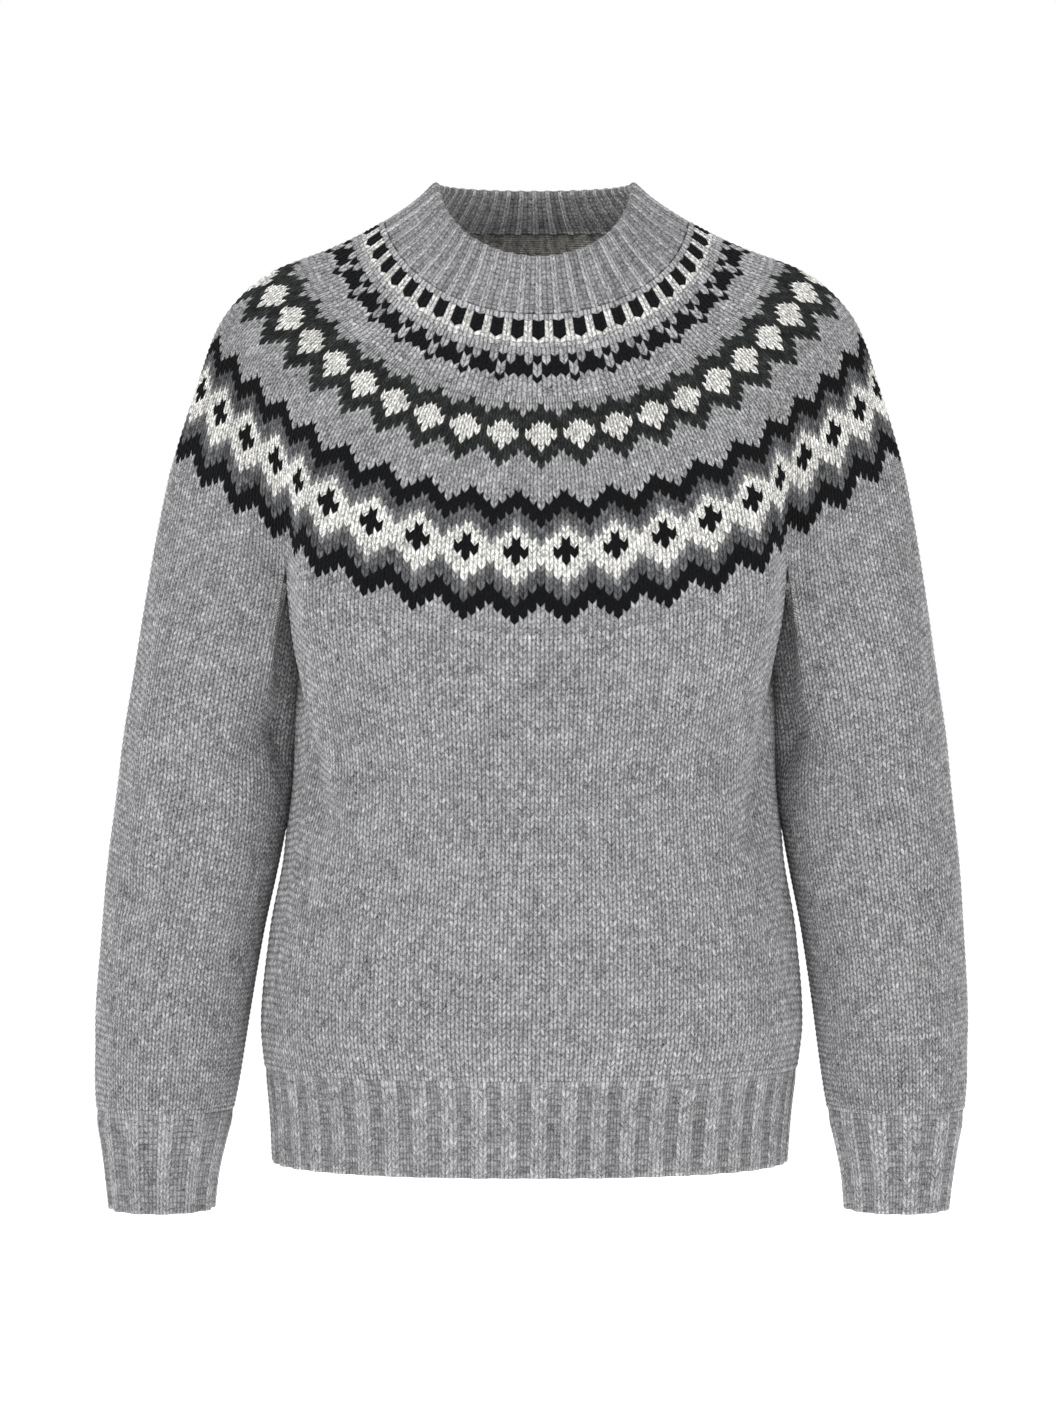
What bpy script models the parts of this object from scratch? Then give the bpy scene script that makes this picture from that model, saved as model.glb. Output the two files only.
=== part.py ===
"""A round-yoke wool sweater in its hollow worn form, as closed cloth walls.

Metres, +Z up. The front faces -Y and the wearer's left is at +X. The origin is the middle of
the neck, level with the point where the neckband meets the shoulders. Tables are in millimetres.
"""

import bpy
import numpy as np

MM = 0.001
SEAM_GAP = 0.3 * MM

KNIT_WALL = 2.8 * MM  # plain and patterned knit
RIB_WALL = 3.4 * MM  # cuffs and hem, knitted double-sided
NECKBAND_WALL = 5.0 * MM  # a rib folded to the inside

# Stitches round each stretch, which share the yoke's lower edge between body and sleeves.
YOKE_STITCHES = 240
FRONT_STITCHES = 72
SLEEVE_TOP_STITCHES = 48
UNDERARM_STITCHES = 18
BODY_STITCHES = 2 * (FRONT_STITCHES + UNDERARM_STITCHES)
SLEEVE_STITCHES = SLEEVE_TOP_STITCHES + UNDERARM_STITCHES
STITCHES_A_COLUMN = 3  # one column of facets
FRONT_TURN = FRONT_STITCHES / YOKE_STITCHES / 2  # the turn at which the yoke's front corner lies

YOKE_ROWS = 53
NECK_FACETS = [-11, -5.5]  # rows at which the facets break, above the neckband's seam at row 0
YOKE_FACETS = [0, 3.5, 8, 13.5, 19.5, 24, 28, 33, 39, 45, 50, YOKE_ROWS]
BODY_FACET_ROWS, SLEEVE_FACET_ROWS, RIB_FACET_ROWS = 9, 9, 3
HEM_TOP, HEM_END = -554 * MM, -616 * MM
CUFF_TOP, CUFF_END = -580 * MM, -645 * MM


# Mean colours of the heathered wool, linear red, green and blue.
KNIT_COLOUR = (0.31, 0.31, 0.318)
RIB_COLOUR = (0.295, 0.295, 0.301)
YOKE_COLOUR = (0.2, 0.2, 0.203)
WOOL_ROUGHNESS = 0.92


def table(names, *rows):
    """A table as one array for each named column."""
    return dict(zip(names.split(), np.array(rows, float).T))


# Rings of the neckband and yoke. Row counts knitted rows down from the neckband's seam; half is
# the half-width; front, mid and back are depths; bows shape the dip from side to centre; plan
# under 1 rounds the ring's sides; fold is how far the sleeve lies behind the body at the armhole
# crease, at fold_x, over fold_soft.
RINGS = table(
    "row half front mid back z_front z_side z_back bow back_bow plan fold fold_x fold_soft",
    (-11.0, 70.0, -57, 3, 70, -24, 28, 31, 0.85, 1.0, 1.00, 0, 158, 25),
    (-5.5, 81.0, -58, 5, 82, -46, 16, 19, 0.90, 1.0, 1.00, 0, 158, 25),
    (0.0, 101.0, -59, 8, 96, -65, 3, 8, 0.93, 1.0, 0.99, 0, 158, 25),
    (8.0, 130.0, -69, 9, 108, -100, -12, -18, 0.98, 1.0, 0.98, 0, 158, 25),
    (19.5, 181.0, -87, 8, 118, -144, -34, -61, 1.28, 1.1, 0.93, 4, 158, 25),
    (28.0, 210.0, -99, 6, 121, -176, -66, -95, 1.38, 1.1, 0.86, 18, 158, 20),
    (39.0, 224.0, -110, 5, 121, -218, -105, -142, 1.27, 1.1, 0.84, 38, 156, 10),
    (50.0, 239.5, -117, 5, 119, -264, -155, -188, 1.33, 1.1, 0.82, 47, 155, 6),
    (53.0, 242.5, -119, 5, 118, -274, -166, -200, 1.34, 1.1, 0.82, 49, 155, 6),
)
SIDE_ROUNDING = 0.2  # how softly a ring turns over at its sides, from its front dip to its back
PINS_START, PINS_HOLD = 20, 50  # rows between which the armhole creases settle at their own turns
MOST_SINE = 0.99
FOLD_LIFT = 0.3  # the sleeve's side of the crease also rises by this share of the fold

# Level sections of the body, from above the underarm to the hem's edge.
BODY = table(
    "z     half  front  back",
    (-140, 156.0, -117, 116),
    (-260, 155.5, -120, 117),
    (-350, 156.2, -123, 120),
    (-410, 162.5, -125, 122),
    (-466, 172.5, -125, 122),
    (-525, 177.5, -122, 119),
    (-548, 175.5, -115, 113),
    (-565, 172.5, -110, 109),
    (-590, 170.0, -108, 107),
    (-616, 168.5, -107, 106),
)
BODY_SQUARE = 2.3  # power of the section's super-ellipse: 2 is an ellipse, more is squarer

# Level sections of a sleeve: its middle, half-width and half-depth.
SLEEVE = table(
    "z     x      y    half  deep",
    (-140, 197.0, 6, 42.0, 44),
    (-200, 204.0, 5, 46.5, 50),
    (-250, 208.5, 4, 49.5, 54),
    (-290, 211.5, 3, 52.0, 57),
    (-350, 216.0, 0, 56.0, 59),
    (-406, 222.0, -4, 56.0, 59),
    (-466, 230.0, -9, 52.5, 57),
    (-525, 236.0, -14, 49.5, 54),
    (-564, 238.3, -18, 46.3, 50),
    (-584, 239.2, -20, 43.5, 45),
    (-604, 239.8, -22, 39.2, 41),
    (-624, 240.3, -23, 35.7, 38),
    (-645, 240.0, -24, 33.5, 36),
)
BODY_PITCH, SLEEVE_PITCH = 5.1 * MM, 5.4 * MM  # width of a stitch on the tubes
UNDERARM_SAG = 24 * MM  # how far the underarm seam hangs below the line between its ends
UNDERARM_TUCK = 6 * MM  # how far it draws in towards the body
TOP_EASE = 130 * MM  # below the yoke's edge, the length over which a tube takes its own section
MIRROR = np.array([-1, 1, 1])  # the right side is the left side's mirror image

# The whole sweater hangs a little to one side: the shift along X at each height.
LEAN = table("z shift", (-640, -1.5), (-450, 1), (-250, 3), (-40, 4.5), (30, 2))

# The largest soft folds. Each is a trough from one place to another on its tube, in stitches
# from the tube's own start and in millimetres below the yoke's edge.
BODY_FOLDS = table(
    "stitch drop to_stitch to_drop width depth",
    (40, 62, 31, 165, 15, 6.0),
    (-40, 70, -30, 150, 14, 5.0),
    (52, 60, 60, 150, 15, 5.0),
    (-52, 66, -61, 160, 15, 5.5),
)
SLEEVE_FOLDS = table(
    "stitch drop to_stitch to_drop width depth",
    (-26, 105, -16, 178, 13, 5.0),
    (26, 120, 14, 190, 14, 4.5),
    (-20, 215, -10, 262, 13, 3.5),
)


def smooth(values, knots, heights):
    """A smooth curve through the knots that never overshoots them (monotone cubic)."""
    order = np.argsort(knots)
    knots, heights = knots[order], heights[order]
    step = np.diff(knots)
    slope = np.diff(heights) / step
    before, after = slope[:-1], slope[1:]
    weight_before, weight_after = 2 * step[1:] + step[:-1], step[1:] + 2 * step[:-1]
    same_way = before * after > 0
    safe_before = np.where(same_way, before, 1.0)
    safe_after = np.where(same_way, after, 1.0)
    weights = weight_before + weight_after
    mean = weights / (weight_before / safe_before + weight_after / safe_after)
    tangent = np.concatenate([slope[:1], np.where(same_way, mean, 0.0), slope[-1:]])
    values = np.clip(values, knots[0], knots[-1])
    span = np.clip(np.searchsorted(knots, values) - 1, 0, len(step) - 1)
    part = (values - knots[span]) / step[span]
    rise = tangent[span] * (part**3 - 2 * part**2 + part)
    fall = tangent[span + 1] * (part**3 - part**2)
    blend = part * part * (3 - 2 * part)
    curve = heights[span] * (1 - blend) + heights[span + 1] * blend
    return curve + step[span] * (rise + fall)


def read(source, column, values, key="z"):
    """A column of a table at the given values of its key column, all in metres."""
    scale = 1.0 if key == "row" else MM
    return smooth(np.asarray(values, float) / scale, source[key], source[column])


def ease(part):
    """0 below 0, 1 above 1, and a smooth S between."""
    part = np.clip(part, 0.0, 1.0)
    return part * part * (3 - 2 * part)


def unit(vectors):
    return vectors / np.linalg.norm(vectors, axis=-1, keepdims=True)


def leaning(points):
    """The points with the sweater's sideways lean added."""
    shifted = points.copy()
    shifted[..., 0] += read(LEAN, "shift", points[..., 2]) * MM
    return shifted


def ring_at_angles(row, angles):
    """One ring of the yoke: an ellipse in plan whose depth steps back at the armhole crease,
    with its height bowed from the sides down to the front and back."""
    side, along = np.sin(angles), np.cos(angles)
    reach = np.abs(along)
    at = {name: float(read(RINGS, name, row, key="row")) for name in RINGS}
    crease = 0.5 * (1 + np.tanh((at["half"] * np.abs(side) - at["fold_x"]) / at["fold_soft"]))
    in_front = along >= 0
    depth = np.where(in_front, at["mid"] - at["front"], at["back"] - at["mid"])
    low = np.where(in_front, at["z_front"], at["z_back"])
    bow = np.where(in_front, at["bow"], at["back_bow"])
    x = at["half"] * side
    y = at["mid"] - np.sign(along) * reach ** at["plan"] * (depth - at["fold"] * crease)
    rounded = np.hypot(along, SIDE_ROUNDING) - SIDE_ROUNDING
    dip = (rounded / (np.hypot(1, SIDE_ROUNDING) - SIDE_ROUNDING)) ** bow
    z = at["z_side"] + (low - at["z_side"]) * dip + FOLD_LIFT * at["fold"] * crease * reach
    return np.stack([x, y, z], axis=-1) * MM


def ring(row, turns):
    """Points of a ring at the given turns: 0 is the centre front, 1/4 the side at +X. Turns
    follow the ring's own length, and on the lower rings the armhole creases are drawn to the
    turns where body and sleeves part."""
    angles = np.linspace(0, np.pi, 721)
    half_ring = ring_at_angles(row, angles)
    length = np.concatenate([[0], np.cumsum(np.linalg.norm(np.diff(half_ring, axis=0), axis=1))])
    natural = 0.5 * length / length[-1]
    half, fold_x, fold_soft = (
        float(read(RINGS, name, row, key="row")) for name in ("half", "fold_x", "fold_soft")
    )
    corner = np.arcsin(min((fold_x + fold_soft) / half, MOST_SINE))
    pins = np.interp([0, corner, np.pi / 2, np.pi - corner, np.pi], angles, natural)
    wanted = np.array([0, FRONT_TURN, 0.25, 0.5 - FRONT_TURN, 0.5])
    pull = ease((row - PINS_START) / (PINS_HOLD - PINS_START))
    share = natural + pull * np.interp(natural, pins, wanted - pins)
    turns = np.asarray(turns, float)
    turns = turns - np.round(turns)
    points = np.stack([np.interp(np.abs(turns), share, half_ring[:, k]) for k in range(3)], axis=-1)
    points[..., 0] *= np.where(turns < 0, -1, 1)
    return points


def yoke_grid(rows, turns):
    return np.stack([ring(row, turns) for row in rows])


def underarm(part):
    """The underarm seam at +X from the front corner (0) to the back corner (1): a straight
    line between the two that hangs and draws in by a parabola."""
    front, back = ring(YOKE_ROWS, np.array([FRONT_TURN, 0.5 - FRONT_TURN]))
    part = np.asarray(part, float)[..., None]
    bulge = 4 * part * (1 - part)
    return front + (back - front) * part - bulge * np.array([UNDERARM_TUCK, 0, UNDERARM_SAG])


def body_top(stitches):
    """The body's upper edge at the given stitches from the centre front, positive to +X."""
    wrapped = stitches - BODY_STITCHES * np.round(stitches / BODY_STITCHES)
    count = np.abs(wrapped)
    corner = FRONT_STITCHES / 2
    on_front = ring(YOKE_ROWS, count / YOKE_STITCHES)
    on_back = ring(YOKE_ROWS, 0.5 - (BODY_STITCHES / 2 - count) / YOKE_STITCHES)
    below_arm = underarm(np.clip((count - corner) / UNDERARM_STITCHES, 0, 1))
    edge = np.where((count <= corner)[..., None], on_front, below_arm)
    edge = np.where((count >= corner + UNDERARM_STITCHES)[..., None], on_back, edge)
    edge[..., 0] *= np.where(wrapped < 0, -1, 1)
    return edge


def sleeve_top(stitches):
    """The upper edge of the sleeve at +X, at stitches from its outermost line, positive to the
    back: the yoke's edge over the arm, then the underarm seam."""
    wrapped = stitches - SLEEVE_STITCHES * np.round(stitches / SLEEVE_STITCHES)
    over_arm = ring(YOKE_ROWS, 0.25 + wrapped / YOKE_STITCHES)
    corner = SLEEVE_TOP_STITCHES / 2
    past = (stitches - corner) % SLEEVE_STITCHES
    below_arm = underarm(1 - np.clip(past / UNDERARM_STITCHES, 0, 1))
    return np.where((np.abs(wrapped) <= corner)[..., None], over_arm, below_arm)


def along_section(outline, share):
    """Points at the given shares of a closed outline's length. The outline is an array of
    levels, points round and coordinates, and the shares have one row for each level."""
    length = np.linalg.norm(np.diff(outline, axis=1), axis=2)
    length = np.concatenate([np.zeros((len(outline), 1)), np.cumsum(length, axis=1)], axis=1)
    length /= length[:, -1:]
    found = np.empty(share.shape + (2,))
    for level, line in enumerate(outline):
        for axis in range(2):
            found[level, :, axis] = np.interp(share[level] % 1.0, length[level], line[:, axis])
    return found


def body_section(z, stitches):
    """The body's level section: a super-ellipse with its own front and back depth, walked at an
    even pace from the centre front."""
    angles = np.linspace(0, 2 * np.pi, 361)
    bent = 2 / BODY_SQUARE
    side, along = np.sin(angles), np.cos(angles)
    x = np.sign(side) * np.abs(side) ** bent
    y = -np.sign(along) * np.abs(along) ** bent
    levels = z.reshape(-1)
    half, front, back = (
        read(BODY, name, levels)[:, None] * MM for name in ("half", "front", "back")
    )
    outline = np.stack([half * x, np.where(y < 0, -front * y, back * y)], axis=-1)
    share = np.broadcast_to(stitches / BODY_STITCHES, z.shape).reshape(-1, 1)
    flat = along_section(outline, share).reshape(z.shape + (2,))
    return np.concatenate([flat, z[..., None]], axis=-1)


def sleeve_section(z, stitches):
    """The sleeve's level section: an ellipse walked at an even pace from its outermost point."""
    angles = np.linspace(0, 2 * np.pi, 181)
    levels = z.reshape(-1)
    x, y, half, deep = (
        read(SLEEVE, name, levels)[:, None] * MM for name in ("x", "y", "half", "deep")
    )
    outline = np.stack([x + half * np.cos(angles), y + deep * np.sin(angles)], axis=-1)
    share = np.broadcast_to(stitches / SLEEVE_STITCHES, z.shape).reshape(-1, 1)
    flat = along_section(outline, share).reshape(z.shape + (2,))
    return np.concatenate([flat, z[..., None]], axis=-1)


def tube_grid(top_edge, section, stitches, shares, end_z):
    """A tube from its top edge down to a level end. Each stitch line runs down in equal shares
    of its height, starts on the edge and eases to the level sections."""
    edge = top_edge(stitches)
    z = edge[None, :, 2] + (end_z - edge[None, :, 2]) * shares[:, None]
    level = section(z, stitches[None, :])
    at_edge = section(edge[:, 2], stitches)
    left = 1 - ease((edge[None, :, 2] - z) / TOP_EASE)
    return level + left[..., None] * (edge - at_edge)[None]


def with_folds(grid, folds, stitches, around, pitch):
    """The grid with each trough pressed in along the surface normal: deepest on the line
    between its two ends, fading over its width and beyond its ends."""
    normals = grid_normals(grid)
    drop = np.linalg.norm(np.diff(grid, axis=0), axis=2)
    drop = np.concatenate([np.zeros((1, grid.shape[1])), np.cumsum(drop, axis=0)])
    for stitch, start, to_stitch, end, width, depth in zip(*folds.values()):
        across = (stitches - stitch + around / 2) % around - around / 2
        here = np.stack([np.broadcast_to(across * pitch, drop.shape), drop - start * MM], axis=-1)
        run = np.array([(to_stitch - stitch) * pitch, (end - start) * MM])
        part = np.clip((here @ run) / (run @ run), 0, 1)
        away = np.linalg.norm(here - part[..., None] * run, axis=-1)
        grid = grid - (depth * MM * np.exp(-((away / (width * MM)) ** 2)))[..., None] * normals
    return grid


def grid_normals(grid):
    """Outward unit normals of a closed tube's grid, whose rows run down and whose columns run
    anticlockwise."""
    down = np.gradient(grid, axis=0)
    across = np.roll(grid, -1, axis=1) - np.roll(grid, 1, axis=1)
    return unit(np.cross(down, across))


def shell(name, grid, wall, material, normals, joined, wrap=True):
    """A closed cloth wall: the grid outside, a copy moved in by the wall, and rims between. Where
    its top or bottom edge is joined, and at side seams, it first draws back by half the gap."""
    outer = grid.copy()
    half_gap = SEAM_GAP / 2
    if joined[0]:
        outer[0] += half_gap * unit(grid[1] - grid[0])
    if joined[1]:
        outer[-1] -= half_gap * unit(grid[-1] - grid[-2])
    if not wrap:
        outer[:, 0] += half_gap * unit(grid[:, 1] - grid[:, 0])
        outer[:, -1] -= half_gap * unit(grid[:, -1] - grid[:, -2])
    inner = outer - wall * normals
    rows, columns = grid.shape[:2]
    index = np.arange(rows * columns).reshape(rows, columns)
    both = (index, index + rows * columns)
    last = columns if wrap else columns - 1
    near, far = np.arange(last), (np.arange(last) + 1) % columns

    def quads(a, b, c, d):
        return np.stack([a, b, c, d], axis=-1).reshape(-1, 4)

    out, ins = both
    faces = [
        quads(out[:-1][:, near], out[1:][:, near], out[1:][:, far], out[:-1][:, far]),
        quads(ins[:-1][:, near], ins[:-1][:, far], ins[1:][:, far], ins[1:][:, near]),
        quads(out[0, near], out[0, far], ins[0, far], ins[0, near]),
        quads(out[-1, near], ins[-1, near], ins[-1, far], out[-1, far]),
    ]
    if not wrap:
        faces.append(quads(out[:-1, 0], ins[:-1, 0], ins[1:, 0], out[1:, 0]))
        faces.append(quads(out[:-1, -1], out[1:, -1], ins[1:, -1], ins[:-1, -1]))
    mesh = bpy.data.meshes.new(name)
    points = leaning(np.concatenate([outer.reshape(-1, 3), inner.reshape(-1, 3)]))
    mesh.from_pydata(points.tolist(), [], np.concatenate(faces).tolist())
    mesh.materials.append(material)
    mesh.shade_smooth()
    piece = bpy.data.objects.new(name, mesh)
    bpy.context.scene.collection.objects.link(piece)
    return piece


def wool(name, colour):
    """A sub-part's own material: matt wool of one mean colour."""
    material = bpy.data.materials.new(name)
    material.use_nodes = True
    shader = material.node_tree.nodes["Principled BSDF"]
    shader.inputs["Base Color"].default_value = (*colour, 1.0)
    shader.inputs["Roughness"].default_value = WOOL_ROUGHNESS
    shader.inputs["Metallic"].default_value = 0.0
    return material


def mirrored(grid):
    """The grid reflected across X, with its columns reversed so that they still run
    anticlockwise."""
    return (grid * MIRROR)[:, ::-1]


def make_neck_and_yoke():
    """The neckband and the patterned yoke, and the yoke's outward directions along its lower
    edge, by stitches from the centre front, for the tubes that join it there."""
    turns = np.arange(0, YOKE_STITCHES, STITCHES_A_COLUMN) / YOKE_STITCHES
    whole = yoke_grid(np.array(NECK_FACETS + YOKE_FACETS), turns)
    normals = grid_normals(whole)
    seam = len(NECK_FACETS)
    rib = wool("neckband_rib", RIB_COLOUR)
    knit = wool("yoke_knit", YOKE_COLOUR)
    shell("neckband", whole[: seam + 1], NECKBAND_WALL, rib, normals[: seam + 1], (False, True))
    shell("yoke", whole[seam:], KNIT_WALL, knit, normals[seam:], (True, True))
    stitches = np.round(turns * YOKE_STITCHES).astype(int)
    around = np.concatenate([stitches, stitches - YOKE_STITCHES])
    return dict(zip(around.tolist(), np.concatenate([normals[-1], normals[-1]])))


def make_body(edge_normals):
    """Front and back panels, parted at the side seams under the arms, each with its hem rib."""
    stitches = np.arange(0, BODY_STITCHES, STITCHES_A_COLUMN, dtype=float)
    shares = np.linspace(0, 1, BODY_FACET_ROWS)
    grid = tube_grid(body_top, body_section, stitches, shares, HEM_TOP)
    grid = with_folds(grid, BODY_FOLDS, stitches, BODY_STITCHES, BODY_PITCH)
    z = np.linspace(HEM_TOP, HEM_END, RIB_FACET_ROWS)
    hem = body_section(np.repeat(z[:, None], len(stitches), axis=1), stitches[None, :])
    normals, hem_normals = grid_normals(grid), grid_normals(hem)
    normals[-1] = hem_normals[0] = unit(normals[-1] + hem_normals[0])
    half_front, half_body = FRONT_STITCHES / 2, BODY_STITCHES / 2
    for column, stitch in enumerate(stitches):
        from_front = int(stitch - BODY_STITCHES * (stitch > half_body))
        from_back = int(stitch - half_body)
        if abs(from_front) <= half_front:
            normals[0, column] = edge_normals[from_front]
        elif abs(from_back) <= half_front:
            normals[0, column] = edge_normals[from_back + YOKE_STITCHES // 2]
    quarter = len(stitches) // 4
    panels = {
        "front": np.arange(-quarter, quarter + 1),
        "back": np.arange(quarter, 3 * quarter + 1),
    }
    for side, columns in panels.items():
        knit = wool("body_knit_" + side, KNIT_COLOUR)
        rib = wool("hem_rib_" + side, RIB_COLOUR)
        shell("body_" + side, grid[:, columns], KNIT_WALL, knit, normals[:, columns],
              (True, True), wrap=False)
        shell("hem_" + side, hem[:, columns], RIB_WALL, rib, hem_normals[:, columns],
              (True, False), wrap=False)


def make_sleeves(edge_normals):
    """Both sleeves with their cuffs. The right one is the left one's mirror image."""
    stitches = np.arange(0, SLEEVE_STITCHES, STITCHES_A_COLUMN, dtype=float)
    shares = np.linspace(0, 1, SLEEVE_FACET_ROWS)
    grid = tube_grid(sleeve_top, sleeve_section, stitches, shares, CUFF_TOP)
    grid = with_folds(grid, SLEEVE_FOLDS, stitches, SLEEVE_STITCHES, SLEEVE_PITCH)
    normals = grid_normals(grid)
    wrapped = stitches - SLEEVE_STITCHES * np.round(stitches / SLEEVE_STITCHES)
    for column, stitch in enumerate(wrapped):
        if abs(stitch) < SLEEVE_TOP_STITCHES / 2:
            normals[0, column] = edge_normals[int(round(YOKE_STITCHES / 4 + stitch))]
    z = np.linspace(CUFF_TOP, CUFF_END, RIB_FACET_ROWS)
    cuff = sleeve_section(np.repeat(z[:, None], len(stitches), axis=1), stitches[None, :])
    cuff_normals = grid_normals(cuff)
    normals[-1] = cuff_normals[0] = unit(normals[-1] + cuff_normals[0])
    forms = {"left": (grid, normals, cuff, cuff_normals)}
    forms["right"] = tuple(mirrored(form) for form in forms["left"])
    for side, (tube, outward, band, band_outward) in forms.items():
        knit = wool("sleeve_knit_" + side, KNIT_COLOUR)
        rib = wool("cuff_rib_" + side, RIB_COLOUR)
        shell("sleeve_" + side, tube, KNIT_WALL, knit, outward, (True, True))
        shell("cuff_" + side, band, RIB_WALL, rib, band_outward, (True, False))


for old in list(bpy.data.objects):
    bpy.data.objects.remove(old, do_unlink=True)

lower_edge_normals = make_neck_and_yoke()
make_body(lower_edge_normals)
make_sleeves(lower_edge_normals)
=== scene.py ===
# %% [markdown]
# # A round-yoke wool sweater
# A sweater knitted in the round: a folded ribbed neckband, a yoke with colour bands, a body and two
# sleeves that hang from the yoke's lower edge, and ribbed hem and cuffs. The imported model gives the
# frame. It is loaded first. The knitting has to stay in it.

# %% Load the frame
import math
import bpy
import numpy as np
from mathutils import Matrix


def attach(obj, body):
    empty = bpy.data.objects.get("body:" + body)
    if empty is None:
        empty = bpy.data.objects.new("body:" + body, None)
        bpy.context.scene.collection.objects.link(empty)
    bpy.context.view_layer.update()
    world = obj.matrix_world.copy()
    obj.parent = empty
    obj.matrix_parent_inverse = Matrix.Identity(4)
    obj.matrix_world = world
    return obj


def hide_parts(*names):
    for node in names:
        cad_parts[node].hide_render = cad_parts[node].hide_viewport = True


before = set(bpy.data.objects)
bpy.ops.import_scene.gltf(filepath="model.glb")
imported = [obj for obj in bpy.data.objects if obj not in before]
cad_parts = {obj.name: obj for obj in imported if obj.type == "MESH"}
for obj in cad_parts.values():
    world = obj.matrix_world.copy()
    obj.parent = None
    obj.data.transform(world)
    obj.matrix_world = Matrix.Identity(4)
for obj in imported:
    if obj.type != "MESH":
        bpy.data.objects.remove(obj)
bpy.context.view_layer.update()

MM = 0.001
print("frame holds", sorted(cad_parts))

# %% [markdown]
# ## How the form is written down
# Worn cloth has no straight edge to measure from, so its form is a few rings and sections, each a
# row in a table, with a curve through each column. Straight lines would show as creases and a
# plain cubic swings past its points, so the curve is the monotone cubic, which never overshoots.

# %% Tables and the curve through them
def table(names, *rows):
    """A table as one array for each named column."""
    return dict(zip(names.split(), np.array(rows, float).T))


def smooth(values, knots, heights):
    """A monotone cubic: the slope at each knot is the weighted harmonic mean of its neighbours'
    slopes, and 0 where they disagree in sign."""
    order = np.argsort(knots)
    knots, heights = knots[order], heights[order]
    step = np.diff(knots)
    slope = np.diff(heights) / step
    before, after = slope[:-1], slope[1:]
    weight_before, weight_after = 2 * step[1:] + step[:-1], step[1:] + 2 * step[:-1]
    same_way = before * after > 0
    safe_before = np.where(same_way, before, 1.0)
    safe_after = np.where(same_way, after, 1.0)
    weights = weight_before + weight_after
    mean = weights / (weight_before / safe_before + weight_after / safe_after)
    tangent = np.concatenate([slope[:1], np.where(same_way, mean, 0.0), slope[-1:]])
    values = np.clip(values, knots[0], knots[-1])
    span = np.clip(np.searchsorted(knots, values) - 1, 0, len(step) - 1)
    part = (values - knots[span]) / step[span]
    rise = tangent[span] * (part**3 - 2 * part**2 + part)
    fall = tangent[span + 1] * (part**3 - part**2)
    blend = part * part * (3 - 2 * part)
    return heights[span] * (1 - blend) + heights[span + 1] * blend + step[span] * (rise + fall)


def read(source, column, values, key="z"):
    """A column of a table at the given values of its key column: rows, or metres of height."""
    scale = 1.0 if key == "row" else MM
    return smooth(np.asarray(values, float) / scale, source[key], source[column])


def ease(part):
    """0 below 0, 1 above 1, and the smooth S 3p^2 - 2p^3 between."""
    part = np.clip(part, 0.0, 1.0)
    return part * part * (3 - 2 * part)


def unit(vectors):
    """The vectors divided by their lengths."""
    return vectors / np.linalg.norm(vectors, axis=-1, keepdims=True)


# %% Sizes, in stitches, rows and millimetres
YOKE_STITCHES, FRONT_STITCHES, SLEEVE_TOP_STITCHES, UNDERARM_STITCHES = 240, 72, 48, 18
BODY_STITCHES = 2 * (FRONT_STITCHES + UNDERARM_STITCHES)
SLEEVE_STITCHES = SLEEVE_TOP_STITCHES + UNDERARM_STITCHES
FRONT_TURN = FRONT_STITCHES / YOKE_STITCHES / 2
NECK_ROWS, YOKE_ROWS = 11, 53
HEM_TOP, HEM_END = -554 * MM, -616 * MM
CUFF_TOP, CUFF_END = -580 * MM, -645 * MM
UNDERARM_SAG, UNDERARM_TUCK, TOP_EASE = 24 * MM, 6 * MM, 130 * MM
BODY_PITCH, SLEEVE_PITCH = 5.1 * MM, 5.4 * MM
BODY_SQUARE, SIDE_ROUNDING, FOLD_LIFT = 2.3, 0.2, 0.3
PINS_START, PINS_HOLD = 20, 50
RING_SAMPLES, LEVEL_SAMPLES, OUTLINE_SAMPLES = 721, 200, 361  # how finely the curves are traced

RINGS = table(
    "row half front mid back z_front z_side z_back bow back_bow plan fold fold_x fold_soft",
    (-11.0, 65.0, -56, 3, 67, -26, 30, 33, 0.85, 1.0, 1.00, 0, 158, 25),
    (-5.5, 81.0, -58, 5, 82, -46, 16, 19, 0.90, 1.0, 1.00, 0, 158, 25),
    (0.0, 101.0, -59, 8, 96, -65, 3, 8, 0.93, 1.0, 0.99, 0, 158, 25),
    (8.0, 130.0, -69, 9, 108, -100, -12, -18, 0.98, 1.0, 0.98, 0, 158, 25),
    (19.5, 181.0, -87, 8, 118, -144, -34, -61, 1.28, 1.1, 0.93, 4, 158, 25),
    (28.0, 210.0, -99, 6, 121, -176, -66, -95, 1.38, 1.1, 0.86, 18, 158, 20),
    (39.0, 224.0, -110, 5, 121, -218, -105, -142, 1.27, 1.1, 0.84, 38, 156, 10),
    (50.0, 239.5, -117, 5, 119, -264, -155, -188, 1.33, 1.1, 0.82, 47, 155, 6),
    (53.0, 242.5, -119, 5, 118, -274, -166, -200, 1.34, 1.1, 0.82, 49, 155, 6),
)
BODY = table(
    "z     half  front  back",
    (-140, 156.0, -117, 116),
    (-260, 155.5, -120, 117),
    (-350, 156.2, -123, 120),
    (-410, 162.5, -125, 122),
    (-466, 172.5, -125, 122),
    (-525, 177.5, -122, 119),
    (-548, 175.5, -115, 113),
    (-565, 172.5, -110, 109),
    (-590, 170.0, -108, 107),
    (-616, 168.5, -107, 106),
)
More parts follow.
